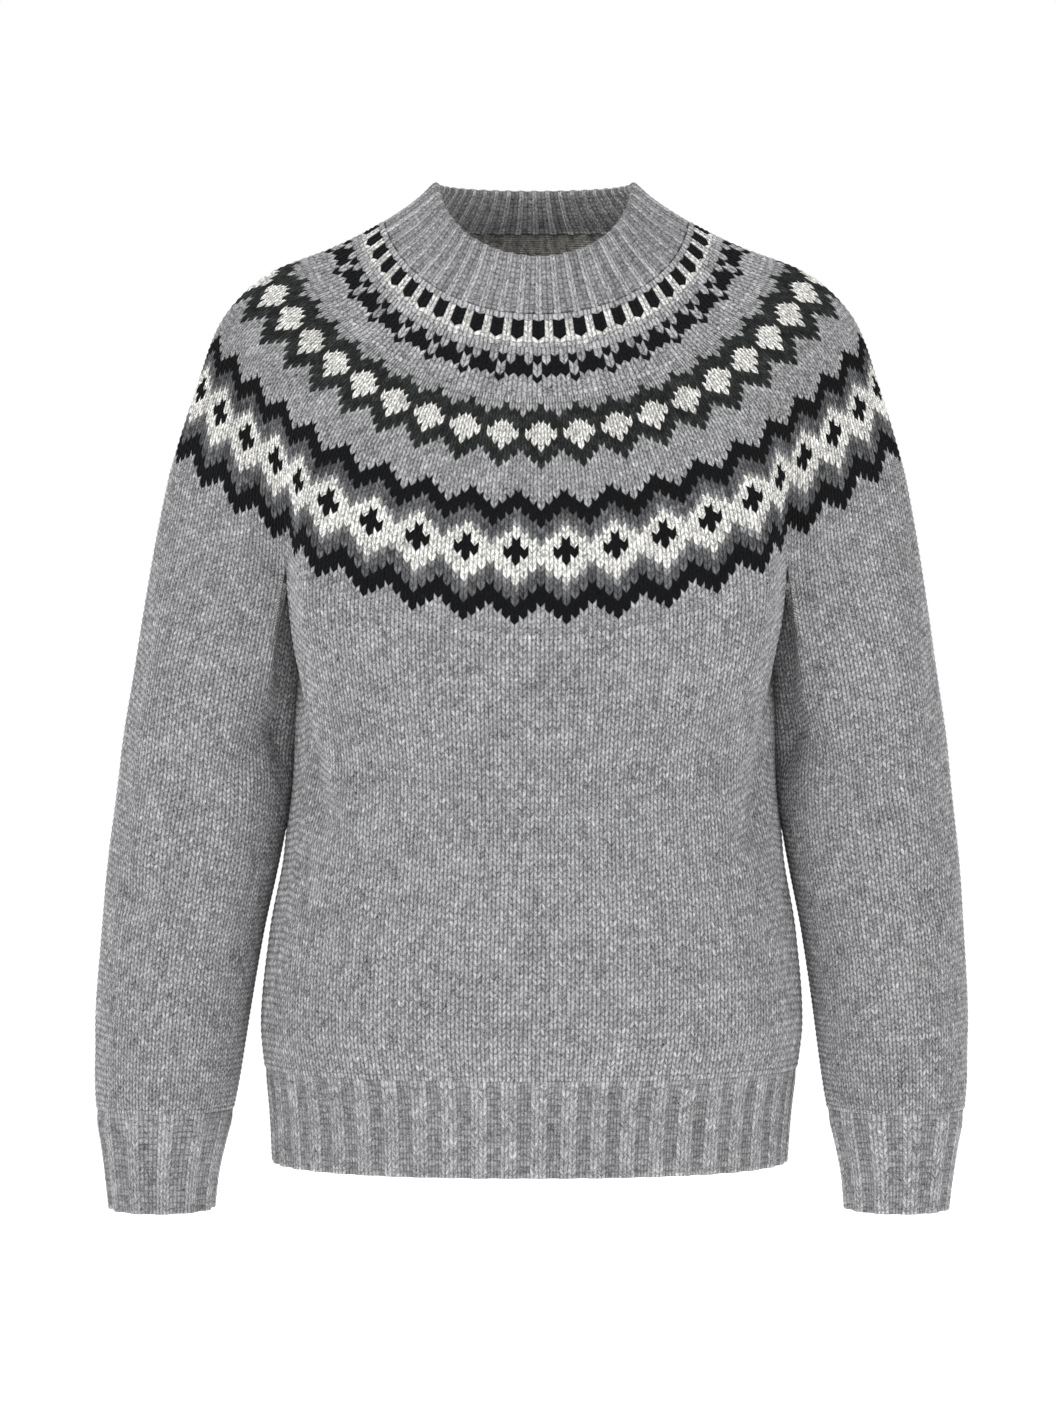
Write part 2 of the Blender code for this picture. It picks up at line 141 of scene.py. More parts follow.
SLEEVE = table(
    "z     x      y    half  deep",
    (-140, 197.0, 6, 42.0, 44),
    (-200, 204.0, 5, 46.5, 50),
    (-250, 208.5, 4, 49.5, 54),
    (-290, 211.5, 3, 52.0, 57),
    (-350, 216.0, 0, 56.0, 59),
    (-406, 222.0, -4, 56.0, 59),
    (-466, 230.0, -9, 52.5, 57),
    (-525, 236.0, -14, 49.5, 54),
    (-564, 238.3, -18, 46.3, 50),
    (-584, 239.2, -20, 43.5, 45),
    (-604, 239.8, -22, 39.2, 41),
    (-624, 240.3, -23, 35.7, 38),
    (-645, 240.0, -24, 33.5, 36),
)
LEAN = table("z shift", (-640, -1.5), (-450, 1), (-250, 3), (-40, 4.5), (30, 2))
print("yoke", YOKE_STITCHES, "stitches; body", BODY_STITCHES, "; sleeve", SLEEVE_STITCHES)

# %% [markdown]
# ## The yoke's rings
# Each knitted round of the yoke is one ring. In plan it is an ellipse, and its height bows from
# the shoulders down to the front and back. Towards the armhole it steps back: that is the deep
# crease where the hanging sleeve turns behind the body. A simulation of it would need the wearer
# inside. A tanh step in the ring gives the same shape and keeps every stitch where it belongs.

# %% Rings
def ring_points(rows, angles):
    """x = half sin(a); y steps from the ring's middle by cos(a)^plan times its depth, less the
    fold behind the crease; z goes from the side's height to the front's or back's with a bow."""
    side, along = np.sin(angles)[None, :], np.cos(angles)[None, :]
    reach = np.abs(along)
    at = {name: read(RINGS, name, rows, key="row")[:, None] for name in RINGS}
    crease = 0.5 * (1 + np.tanh((at["half"] * np.abs(side) - at["fold_x"]) / at["fold_soft"]))
    in_front = along >= 0
    depth = np.where(in_front, at["mid"] - at["front"], at["back"] - at["mid"])
    low = np.where(in_front, at["z_front"], at["z_back"])
    bow = np.where(in_front, at["bow"], at["back_bow"])
    x = at["half"] * side
    y = at["mid"] - np.sign(along) * reach ** at["plan"] * (depth - at["fold"] * crease)
    rounded = np.hypot(along, SIDE_ROUNDING) - SIDE_ROUNDING
    dip = (rounded / (np.hypot(1, SIDE_ROUNDING) - SIDE_ROUNDING)) ** bow
    z = at["z_side"] + (low - at["z_side"]) * dip + FOLD_LIFT * at["fold"] * crease * reach
    return np.stack([x, y, z], axis=-1) * MM


def rings(rows, turns):
    """Rings at the given turns, 0 at the centre front and 1/4 at +X. Turns follow each ring's own
    length, and low rings are pinned so that the creases meet the armholes."""
    rows = np.atleast_1d(np.asarray(rows, float))
    angles = np.linspace(0, np.pi, RING_SAMPLES)
    halves = ring_points(rows, angles)
    turns = np.asarray(turns, float)
    turns = turns - np.round(turns)
    wanted = np.array([0, FRONT_TURN, 0.25, 0.5 - FRONT_TURN, 0.5])
    found = np.empty((len(rows), len(turns), 3))
    for index, (row, half_ring) in enumerate(zip(rows, halves)):
        steps = np.linalg.norm(np.diff(half_ring, axis=0), axis=1)
        length = np.concatenate([[0], np.cumsum(steps)])
        natural = 0.5 * length / length[-1]
        half, crease, soft = (float(read(RINGS, n, row, "row")) for n in ("half", "fold_x", "fold_soft"))
        corner = np.arcsin(min((crease + soft) / half, 0.99))  # a small ring doesn't reach the crease
        pins = np.interp([0, corner, np.pi / 2, np.pi - corner, np.pi], angles, natural)
        pull = ease((row - PINS_START) / (PINS_HOLD - PINS_START))
        share = natural + pull * np.interp(natural, pins, wanted - pins)
        for axis in range(3):
            found[index, :, axis] = np.interp(np.abs(turns), share, half_ring[:, axis])
    found[..., 0] *= np.where(turns < 0, -1, 1)
    return found


print("yoke's lower edge at centre front:", rings(YOKE_ROWS, [0.0])[0, 0].round(3))

# %% [markdown]
# ## Body and sleeve tubes
# Below the yoke the cloth is three tubes. Each starts on the yoke's edge, with a short underarm
# seam where body and sleeve face each other, and eases to its own level sections further down.

# %% Edges and sections of the tubes
def underarm(part):
    """The seam under the arm at +X from front (0) to back (1): the straight line between its ends
    less a parabola that hangs and tucks in."""
    front, back = rings(YOKE_ROWS, [FRONT_TURN, 0.5 - FRONT_TURN])[0]
    part = np.asarray(part, float)[..., None]
    hang = np.array([UNDERARM_TUCK, 0, UNDERARM_SAG])
    return front + (back - front) * part - 4 * part * (1 - part) * hang


def body_top(stitches):
    """The body's upper edge at stitches from the centre front, positive to +X."""
    wrapped = stitches - BODY_STITCHES * np.round(stitches / BODY_STITCHES)
    count, corner = np.abs(wrapped), FRONT_STITCHES / 2
    on_front = rings(YOKE_ROWS, count / YOKE_STITCHES)[0]
    on_back = rings(YOKE_ROWS, 0.5 - (BODY_STITCHES / 2 - count) / YOKE_STITCHES)[0]
    under = underarm((count - corner) / UNDERARM_STITCHES)
    edge = np.where((count <= corner)[:, None], on_front, under)
    edge = np.where((count >= corner + UNDERARM_STITCHES)[:, None], on_back, edge)
    edge[:, 0] *= np.where(wrapped < 0, -1, 1)
    return edge


def sleeve_top(stitches):
    """The +X sleeve's upper edge at stitches from its outermost line, positive to the back."""
    wrapped = stitches - SLEEVE_STITCHES * np.round(stitches / SLEEVE_STITCHES)
    corner = SLEEVE_TOP_STITCHES / 2
    over_arm = rings(YOKE_ROWS, 0.25 + wrapped / YOKE_STITCHES)[0]
    past = np.clip(((stitches - corner) % SLEEVE_STITCHES) / UNDERARM_STITCHES, 0, 1)
    return np.where((np.abs(wrapped) <= corner)[:, None], over_arm, underarm(1 - past))


def body_outline(levels, angles):
    """A super-ellipse: |x/half|^p + |y/depth|^p = 1, with its own depth in front and behind."""
    bent = 2 / BODY_SQUARE
    side, along = np.sin(angles), np.cos(angles)
    x, y = np.sign(side) * np.abs(side) ** bent, -np.sign(along) * np.abs(along) ** bent
    half, front, back = (read(BODY, n, levels)[:, None] * MM for n in ("half", "front", "back"))
    return np.stack([half * x, np.where(y < 0, -front * y, back * y)], axis=-1)


def sleeve_outline(levels, angles):
    """An ellipse from its outermost point."""
    x, y, half, deep = (read(SLEEVE, n, levels)[:, None] * MM for n in ("x", "y", "half", "deep"))
    return np.stack([x + half * np.cos(angles), y + deep * np.sin(angles)], axis=-1)


def section(outline, z, shares):
    """Points on the level sections at heights z (rows by columns), each column at its own share
    of the outline's length. Sections are worked out on even levels and read between them."""
    levels = np.linspace(z.min(), z.max(), LEVEL_SAMPLES)
    lines = outline(levels, np.linspace(0, 2 * np.pi, OUTLINE_SAMPLES))
    length = np.cumsum(np.linalg.norm(np.diff(lines, axis=1), axis=2), axis=1)
    length = np.pad(length, ((0, 0), (1, 0))) / length[:, -1:]
    lattice = np.empty((len(levels), len(shares), 2))
    for level, line in enumerate(lines):
        for axis in range(2):
            lattice[level, :, axis] = np.interp(shares % 1.0, length[level], line[:, axis])
    place = (z - levels[0]) / (levels[1] - levels[0])
    low = np.clip(place.astype(int), 0, len(levels) - 2)
    part = (place - low)[..., None]
    column = np.broadcast_to(np.arange(len(shares)), z.shape)
    flat = lattice[low, column] * (1 - part) + lattice[low + 1, column] * part
    return np.concatenate([flat, z[..., None]], axis=-1)


def tube(edge, outline, shares, rows, end_z):
    """Rows from the edge down to a level end, in equal shares of height. A point is its section's
    point plus what is left of the edge's distance from its own section."""
    top = edge[None, :, 2]
    z = top + (end_z - top) * np.linspace(0, 1, rows)[:, None]
    left = 1 - ease((top - z) / TOP_EASE)
    return section(outline, z, shares) + left[..., None] * (edge - section(outline, top, shares)[0])


# %% [markdown]
# ## Folds
# Worn cloth keeps a few soft folds: a diagonal one from each underarm, and shallow ones down the
# sleeves and the lower body. Each is one row of a table: where it starts and ends, its width and
# its depth. A negative depth is a ridge. They are uneven on purpose, and the back has its own.

# %% Fold tables and the function that presses them in
BODY_FOLDS = table(
    "stitch drop to_stitch to_drop width depth",
    (40, 62, 31, 165, 15, 6.0),
    (-40, 70, -30, 150, 14, 5.0),
    (52, 60, 60, 150, 15, 5.0),
    (-52, 66, -61, 160, 15, 5.5),
    (33, 70, 25, 150, 9, -1.6),
    (-33, 80, -24, 140, 9, -1.4),
    (38, 210, 36, 265, 10, 1.6),
    (-37, 190, -36, 262, 11, 1.8),
    (20, 205, 22, 272, 12, 1.4),
    (-18, 215, -17, 270, 12, 1.2),
    (2, 220, 3, 274, 13, 1.0),
    (45, 15, 45, 165, 20, -1.6),
    (-45, 15, -45, 165, 20, -1.6),
    (70, 230, 68, 330, 14, 1.8),
    (-66, 240, -68, 335, 15, 1.6),
    (84, 60, 80, 150, 18, 2.2),
    (-82, 70, -76, 165, 18, 2.0),
)
SLEEVE_FOLDS = table(
    "stitch drop to_stitch to_drop width depth",
    (-26, 105, -16, 178, 14, 7.5),
    (-25, 10, -29, 120, 12, 6.5),
    (26, 120, 14, 190, 14, 4.5),
    (-20, 215, -10, 262, 13, 3.5),
    (-14, 60, -12, 170, 11, 1.6),
    (-5, 90, -6, 230, 12, 1.3),
    (6, 130, 4, 300, 13, 1.4),
    (-24, 250, -17, 300, 10, 2.0),
    (-8, 330, -3, 380, 11, 1.6),
    (20, 250, 12, 310, 12, 2.0),
    (29, 200, 24, 290, 12, 1.8),
    (33, 20, 33, 150, 24, -2.6),
)
FOLD_START = 22 * MM  # folds grow over this length from the yoke's edge, so that no gap opens


def grid_normals(grid):
    """Unit normals of a closed tube's grid: the cross product of its steps down and round."""
    across = np.roll(grid, -1, axis=1) - np.roll(grid, 1, axis=1)
    return unit(np.cross(np.gradient(grid, axis=0), across))


def with_folds(grid, folds, stitches, around, pitch):
    """Each fold lowers the surface along its normal by depth times exp(-(d/width)^2), where d is
    the distance on the cloth to the line between the fold's two ends."""
    normals = grid_normals(grid)
    drop = np.cumsum(np.linalg.norm(np.diff(grid, axis=0), axis=2), axis=0)
    drop = np.pad(drop, ((1, 0), (0, 0)))
    total = np.zeros(drop.shape)
    for stitch, start, to_stitch, end, width, depth in zip(*folds.values()):
        across = ((stitches - stitch + around / 2) % around - around / 2) * pitch
        here = np.stack([np.broadcast_to(across, drop.shape), drop - start * MM], axis=-1)
        run = np.array([(to_stitch - stitch) * pitch, (end - start) * MM])
        part = np.clip((here @ run) / (run @ run), 0, 1)
        away = np.linalg.norm(here - part[..., None] * run, axis=-1)
        total += depth * MM * np.exp(-((away / (width * MM)) ** 2))
    total *= ease(drop / FOLD_START)
    return grid - total[..., None] * normals


# %% [markdown]
# ## A stitch as a shape
# A plain knitted stitch is a V: two fat legs that start at its upper corners and meet at its
# bottom. A tube of yarn for each would need tens of thousands of tubes, so the trick here is a
# sheared grid. Four columns and two rows of faces make one stitch, and the columns are slid down by
# up to three quarters of a row, so the rows of faces zigzag as the legs do. Lifting the middle of
# each leg gives real relief, and colours change along the zigzag as in real colour knitting.

# %% Numbers of the stitch
COLUMNS_A_STITCH, ROWS_A_STITCH = 4, 2
SLIDE = np.array([0, 0.75, 1.5, 0.75])  # how far each column slides down, in half rows
# The stitch rows stop short of a straight edge, so the painted shade of the gap between rows draws no
# dark line there.
EDGE_ROW = 0.35  # a straight edge is shaded as this part of a row, away from the gap between rows
RAMP = 4  # half rows over which the slide grows from a straight edge
LEG_LIFT = np.array([[0.0, 0.42, 0.12, 0.42], [0.10, 1.0, 0.30, 1.0]])  # even and odd half rows
KNIT_RELIEF = 0.95 * MM
KNIT_WALL, RIB_WALL, NECKBAND_WALL = 2.8 * MM, 3.4 * MM, 5.0 * MM


def slid(grid, slide):
    """The grid read at row + slide for each vertex, with straight lines between its rows."""
    at = np.arange(len(slide))[:, None] + slide
    low = np.clip(np.floor(at).astype(int), 0, len(grid) - 2)
    part = (at - low)[..., None]
    column = np.broadcast_to(np.arange(grid.shape[1]), slide.shape)
    return grid[low, column] * (1 - part) + grid[low + 1, column] * part


def slide_of(rows, columns, top, bottom, profile=SLIDE):
    """The slide of each vertex, by a profile repeated round the piece. top and bottom say where it
    ramps to a straight edge, as one truth value or one for each column."""
    down = np.arange(rows)[:, None]
    grow = np.where(top, np.clip(down / RAMP, 0, 1), 1.0)
    fade = np.where(bottom, np.clip((rows - 1 - down) / RAMP, 0, 1), 1.0)
    return profile[np.arange(columns) % len(profile)] * grow * fade


# %% [markdown]
# ## From grids to a closed cloth wall
# Every wall of knitting is closed: the stitched outside, a coarser inside with one face to a
# stitch, and a rim of many-sided faces between the two. Each face corner carries its yarn's colour
# and its place in stitches and rows, so the material knows where it is on the knitting.

# %% The mesh writer
def write_mesh(name, points, faces, colours, places, inside):
    """One mesh from points and lists of equal-sided faces. colours and places have one row for
    each face corner, and inside has one value for each point."""
    sides = np.concatenate([np.full(len(group), group.shape[1]) for group in faces])
    corners = np.concatenate([group.reshape(-1) for group in faces])
    mesh = bpy.data.meshes.new(name)
    mesh.vertices.add(len(points))
    mesh.vertices.foreach_set("co", points.astype(np.float32).ravel())
    mesh.loops.add(len(corners))
    mesh.loops.foreach_set("vertex_index", corners.astype(np.int32))
    mesh.polygons.add(len(sides))
    starts = np.concatenate([[0], np.cumsum(sides)[:-1]])
    mesh.polygons.foreach_set("loop_start", starts.astype(np.int32))
    mesh.update(calc_edges=True)
    mesh.attributes.new("sharp_face", "BOOLEAN", "FACE").data.foreach_set("value", sides > 4)
    rgba = np.pad(colours, ((0, 0), (0, 1)), constant_values=1.0).astype(np.float32)
    mesh.attributes.new("yarn", "FLOAT_COLOR", "CORNER").data.foreach_set("color", rgba.ravel())
    mesh.uv_layers.new(name="stitches").data.foreach_set("uv", places.astype(np.float32).ravel())
    inner_side = mesh.attributes.new("inside", "FLOAT", "POINT")
    inner_side.data.foreach_set("value", inside.astype(np.float32))
    return mesh


def leaning(points):
    """The points with the sweater's small sideways lean."""
    return points + read(LEAN, "shift", points[..., 2])[..., None] * MM * np.array([1, 0, 0])


# A face's corners as steps down and across the grid, seen from its front.
CORNERS = ((0, 0), (1, 0), (1, 1), (0, 1))
INNER_CORNERS = ((0, 0), (0, 1), (1, 1), (1, 0))


def numbered(rows, columns, wrap, first=0):
    """The numbers of a grid's vertices, with the first column again at the end if it closes."""
    index = first + np.arange(rows * columns).reshape(rows, columns)
    return np.concatenate([index, index[:, :1]], axis=1) if wrap else index


def four_sided(index, corners):
    """The faces between a grid's vertices, and the column and row of each face's corners."""
    row, column = np.indices((index.shape[0] - 1, index.shape[1] - 1))
    rows = np.stack([row + down for down, across in corners], axis=-1)
    columns = np.stack([column + across for down, across in corners], axis=-1)
    return index[rows, columns], np.stack([columns, rows], axis=-1)


def wall_arrays(outer, inner, chart, inner_chart, wrap, row_start=0.0):
    """Points, faces, corner colours, corner places and insides of one closed wall. outer has two
    rows and four columns to a stitch, inner has one of each. inner_chart has a colour for each
    stitch, and chart for each stitch or for each half row of it."""
    sizes = outer.shape[0] * outer.shape[1], inner.shape[0] * inner.shape[1]
    index = numbered(*outer.shape[:2], wrap)
    index_in = numbered(*inner.shape[:2], wrap, sizes[0])
    quads, place = four_sided(index, CORNERS)
    quads_in, place_in = four_sided(index_in, INNER_CORNERS)
    half_rows, rows, stitches = len(quads), len(quads_in), quads_in.shape[1]
    column, half_row = place[:, :, 0, 0], place[:, :, 0, 1]
    yarns = chart[half_row * len(chart) // half_rows, column // COLUMNS_A_STITCH]
    place = place / np.array([COLUMNS_A_STITCH, ROWS_A_STITCH])
    place[..., 1] = np.clip(place[..., 1], EDGE_ROW, half_rows / ROWS_A_STITCH - EDGE_ROW)
    stitch, row = np.arange(stitches), np.arange(rows)
    edge = [COLUMNS_A_STITCH * stitch + step for step in range(COLUMNS_A_STITCH + 1)]
    top = [index[0, columns] for columns in edge] + [index_in[0, stitch + 1], index_in[0, stitch]]
    low = [index[-1, edge[0]], index_in[-1, stitch], index_in[-1, stitch + 1]]
    low += [index[-1, columns] for columns in edge[:0:-1]]
    rim = np.stack([stitch + 0.5, np.full(stitches, 0.5)], axis=-1)[:, None]
    groups = [
        (quads, yarns, place),
        (quads_in, inner_chart[:rows, :stitches], place_in),
        (np.stack(top, axis=-1), chart[0, :stitches], rim),
        (np.stack(low, axis=-1), chart[-1, :stitches], rim + [0, rows - 1]),
    ]
    if not wrap:
        over, half, under = (index[ROWS_A_STITCH * row + step] for step in range(ROWS_A_STITCH + 1))
        left = [over[:, 0], index_in[row, 0], index_in[row + 1, 0], under[:, 0], half[:, 0]]
        right = [over[:, -1], half[:, -1], under[:, -1], index_in[row + 1, -1], index_in[row, -1]]
        side = np.stack([np.full(rows, 0.5), row + 0.5], axis=-1)[:, None]
        groups.append((np.stack(left, axis=-1), chart[:rows, 0], side))
        groups.append((np.stack(right, axis=-1), chart[:rows, -1], side + [stitches - 1, 0]))
    faces, colours, places = [], [], []
    for corners, colour, spots in groups:
        sides = corners.shape[-1]
        faces.append(corners.reshape(-1, sides))
        colours.append(np.repeat(colour.reshape(-1, 3), sides, axis=0))
        places.append(np.broadcast_to(spots, corners.shape + (2,)).reshape(-1, 2))
    points = np.concatenate([outer.reshape(-1, 3), inner.reshape(-1, 3)])
    places = np.concatenate(places) + [0, row_start]
    return points, faces, np.concatenate(colours), places, np.repeat([0.0, 1.0], sizes)


def joined(name, walls):
    """One mesh object from several walls' arrays, placed in the scene."""
    points, faces, colours, places, inside = zip(*walls)
    starts = np.cumsum([0] + [len(part) for part in points[:-1]])
    faces = [group + start for groups, start in zip(faces, starts) for group in groups]
    points, colours, places, inside = map(np.concatenate, (points, colours, places, inside))
    mesh = write_mesh(name, leaning(points), faces, colours, places, inside)
    piece = bpy.data.objects.new(name, mesh)
    bpy.context.scene.collection.objects.link(piece)
    mesh.calc_loop_triangles()
    print(name, len(mesh.loop_triangles), "triangles")
    return piece


# %% [markdown]
# ## Yarn colours and the yoke's charts
# The wool is heathered: each strand is spun from lighter and darker fibres. The charts below are
# read from the neck down, one letter to a stitch, and each repeats round the yoke.

# %% Yarns and charts
YARNS = {
    ".": (0.41, 0.41, 0.42),  # main heather grey
    "L": (0.47, 0.47, 0.475),  # grey carried with the off-white
    "G": (0.125, 0.127, 0.132),  # darker grey
    "C": (0.028, 0.031, 0.030),  # charcoal
    "B": (0.0035, 0.004, 0.005),  # black
    "W": (0.88, 0.87, 0.835),  # off-white
    "V": (0.74, 0.73, 0.71),  # off-white knitted tighter, at the neck
    "g": (0.25, 0.25, 0.255),  # darker grey under the fuzz of a white stitch
}
DYE_SPREAD = 0.09  # how far one stitch's shade is from the next
YARN_SPREAD = {"G": 0.24, "g": 0.2, "C": 0.35, "W": 0.04, "V": 0.05}
# Painted light: the inside of plain knitting is painted 1.45 times as light as its yarn.
REVERSE_OWN, REVERSE_PAINTED_LIGHT = 0.15, 1.45  # the inside's share of a stitch's own colour, and its light
REVERSE_TINT = np.array([1.03, 1.0, 0.95])
BLOCK_CHART = ["..", "BV", "BV", "BV", "VV", "LL"]
OVAL_CHART = ["....", "B.B.", ".BBB", ".BBB", "B...", "....", "....", "...."]
DOT_CHART = [
    "......", "C.....", "CCC.CC", "CCCCCC", "WCCCCC", "WWCCCW", "WWWCWW", "WWCCCW", "WCCCCC", "CCC.CC",
    "CC...C", "C.....", "......",
]
CROSS_CHART = [
    "......", "......", "......",
    "...B..", "..BBB.", ".BBBBB",
    "BBBGBB", "BBGGGB", "BGGGGG",
    "GGGWGG", "GGWWWG", "GWWBWW", "WWBBBW", "WWBBBW", "WWWBWW", "GWWWWW", "GGWWWG", "GGGWGG",
    "BGGGGG", "BBGGGB", "BBBGBB",
    ".BBBBB", "..BBB.", "...B..",
    "......", "......", "......",
]


def uneven_dye(colours, spread=DYE_SPREAD):
    """Each stitch a little lighter or darker, by a seeded normal spread."""
    chance = np.random.default_rng(7).normal(1.0, spread, colours.shape[:2])
    return colours * np.clip(chance, 0.6, 1.5)[..., None]


def charted(chart, repeats):
    """The chart repeated round, as an array of rows by stitches by colour. Darker grey next to
    white in its own column is lightened by the white's fuzz."""
    letters = np.array([list(row) for row in chart])
    near_white = (np.roll(letters, 1, axis=0) == "W") | (np.roll(letters, -1, axis=0) == "W")
    letters = np.where((letters == "G") & near_white, "g", letters)
    palette = np.array([[YARNS[letter] for letter in row] for row in letters])
    spread = np.array([[YARN_SPREAD.get(letter, DYE_SPREAD) for letter in row] for row in letters])
    return uneven_dye(np.tile(palette, (1, repeats, 1)), np.tile(spread, (1, repeats)))


def reverse_side(chart):
    """The inside of the knitting, where strands float: mostly the mean of the whole chart, a
    little warmer, and painted lighter: painted light for the light that comes through the wool."""
    mean = chart.mean(axis=(0, 1))
    return (REVERSE_OWN * chart + (1 - REVERSE_OWN) * mean) * REVERSE_PAINTED_LIGHT * REVERSE_TINT


def plain(rows, stitches):
    """A chart of the main yarn only."""
    return uneven_dye(np.broadcast_to(np.array(YARNS["."]), (rows, stitches, 3)))


print("cross band", len(CROSS_CHART), "rows; dots", len(DOT_CHART), "rows")

# %% [markdown]
# ## Body, sleeves and yoke as grids
# Before any stitch is raised, the smooth forms are laid out at two half rows and four columns to a
# stitch. The yoke's grid borrows its first rows below the edge from the tubes, so the zigzag of
# its last row runs on into them with no line across the chest.

# %% Smooth grids
FRONT_ROWS, BACK_ROWS, SLEEVE_ROWS = 71, 82, 100


def quarter_stitches(count):
    """The place of each column of faces round a piece, in stitches."""
    return np.arange(count * COLUMNS_A_STITCH) / COLUMNS_A_STITCH


def tube_grid(top, outline, folds, count, pitch, rows, end_z):
    """A whole tube with a given number of stitch rows, folds pressed in."""
    stitches = quarter_stitches(count)
    grid = tube(top(stitches), outline, stitches / count, ROWS_A_STITCH * rows + 1, end_z)
    return with_folds(grid, folds, stitches, count, pitch)


def mirrored(grid):
    """The grid of the other side's sleeve or cuff, its columns in the opposite order."""
    return grid[:, -np.arange(grid.shape[1]) % grid.shape[1]] * np.array([-1, 1, 1])


BODY_TUBE = (body_top, body_outline, BODY_FOLDS, BODY_STITCHES, BODY_PITCH)
SLEEVE_TUBE = (sleeve_top, sleeve_outline, SLEEVE_FOLDS, SLEEVE_STITCHES, SLEEVE_PITCH)
left_grid = tube_grid(*SLEEVE_TUBE, SLEEVE_ROWS, CUFF_TOP)
grid_of = {
    "front": tube_grid(*BODY_TUBE, FRONT_ROWS, HEM_TOP),
    "left": left_grid,
    "back": tube_grid(*BODY_TUBE, BACK_ROWS, HEM_TOP),
    "right": mirrored(left_grid),
}

half_front, half_arm, half_yoke = FRONT_STITCHES / 2, SLEEVE_TOP_STITCHES / 2, YOKE_STITCHES / 2
OWNERS = {  # the middle of each tube's share of the yoke, its reach, and the tube's own middle stitch
    "front": (0.0, half_front, 0.0),
    "left": (YOKE_STITCHES / 4, half_arm, 0.0),
    "back": (half_yoke, half_front, BODY_STITCHES / 2),
    "right": (3 * YOKE_STITCHES / 4, half_arm, 0.0),
}
yoke_stitches = quarter_stitches(YOKE_STITCHES)


def shared_columns(side, corners):
    """Which of the yoke's columns meet a tube, with or without the tube's corners, and which of
    the tube's columns they meet."""
    middle, reach, own_middle = OWNERS[side]
    away = (yoke_stitches - middle + half_yoke) % YOKE_STITCHES - half_yoke
    mine = np.abs(away) <= reach if corners else np.abs(away) < reach
    column = np.round((away[mine] + own_middle) * COLUMNS_A_STITCH).astype(int)
    return mine, column % grid_of[side].shape[1]


LOWER_START = YOKE_ROWS - len(DOT_CHART) - len(CROSS_CHART)
lower_rows = np.arange(ROWS_A_STITCH * LOWER_START, ROWS_A_STITCH * YOKE_ROWS + 1) / ROWS_A_STITCH
below = np.empty((ROWS_A_STITCH, len(yoke_stitches), 3))
for side, grid in grid_of.items():
    mine, column = shared_columns(side, True)
    below[:, mine] = grid[1:1 + ROWS_A_STITCH, column]
lower_yoke = np.concatenate([rings(lower_rows, yoke_stitches / YOKE_STITCHES), below])
print("yoke grid", lower_yoke.shape, "body grid", grid_of["front"].shape, "sleeve grid", left_grid.shape)

# %% Shared normals along the yoke's lower edge
yoke_normals = grid_normals(lower_yoke)
normals_of = {side: grid_normals(grid) for side, grid in grid_of.items()}
edge_row = len(lower_rows) - 1
for side, normals in normals_of.items():
    mine, column = shared_columns(side, False)
    for step in range(RAMP):
        keep = step / RAMP
        blended = keep * normals[step, column] + (1 - keep) * yoke_normals[edge_row, mine]
        normals[step, column] = unit(blended)
        if edge_row + step < len(yoke_normals):
            yoke_normals[edge_row + step, mine] = normals[step, column]


def knit_wall(grid, normals, chart, inner_chart, top, bottom, wrap, row_start=0.0):
    """A wall of plain knitting on a smooth grid: the outside slid into a zigzag and lifted by the
    legs' relief, and the inside one wall thickness below it."""
    half_rows, columns = len(inner_chart) * ROWS_A_STITCH + 1, grid.shape[1]
    slide = slide_of(half_rows, columns, top, bottom)
    lift = LEG_LIFT[np.arange(half_rows)[:, None] % 2, np.arange(columns)[None, :] % COLUMNS_A_STITCH]
    outer = slid(grid, slide) + (KNIT_RELIEF * lift)[..., None] * slid(normals, slide)
    picked = (slice(0, half_rows, ROWS_A_STITCH), slice(0, None, COLUMNS_A_STITCH))
    inner = grid[picked] - KNIT_WALL * normals[picked]
    return wall_arrays(outer, inner, chart, inner_chart, wrap, row_start)


print("rows: front", FRONT_ROWS, "back", BACK_ROWS, "sleeves", SLEEVE_ROWS)

# %% [markdown]
# ## The yoke
# Four bands of knitting: blocks under the neckband on 96 stitches, ovals on 128, and dots and the
# wide crosses together on 240. A straight edge where the number changes is a round of decreases.
# The crosses have no straight lower edge, because their stitches run on into body and sleeves.

# %% Make the yoke
def uneven_columns(repeats, around, share):
    """Where each column of faces lies round a piece, in repeats: the first half of a repeat's
    columns take the given share of its width and the second half the rest."""
    half = around // 2
    whole, column = np.divmod(np.arange(repeats * around), around)
    first, second = column / half * share, share + (column - half) / half * (1 - share)
    return whole + np.where(column <= half, first, second)


def upper_band(chart, repeats, start, end, share=0.5, turn=0.0):
    """A band with straight upper and lower edges, between two rows counted from the neckband's
    seam. turn is in repeats."""
    around = COLUMNS_A_STITCH * len(chart[0])
    turns = (uneven_columns(repeats, around, share) + turn) / repeats
    grid = rings(np.linspace(start, end, ROWS_A_STITCH * len(chart) + 1), turns)
    colours = charted(chart, repeats)
    return knit_wall(grid, grid_normals(grid), colours, reverse_side(colours), True, True, True, start)


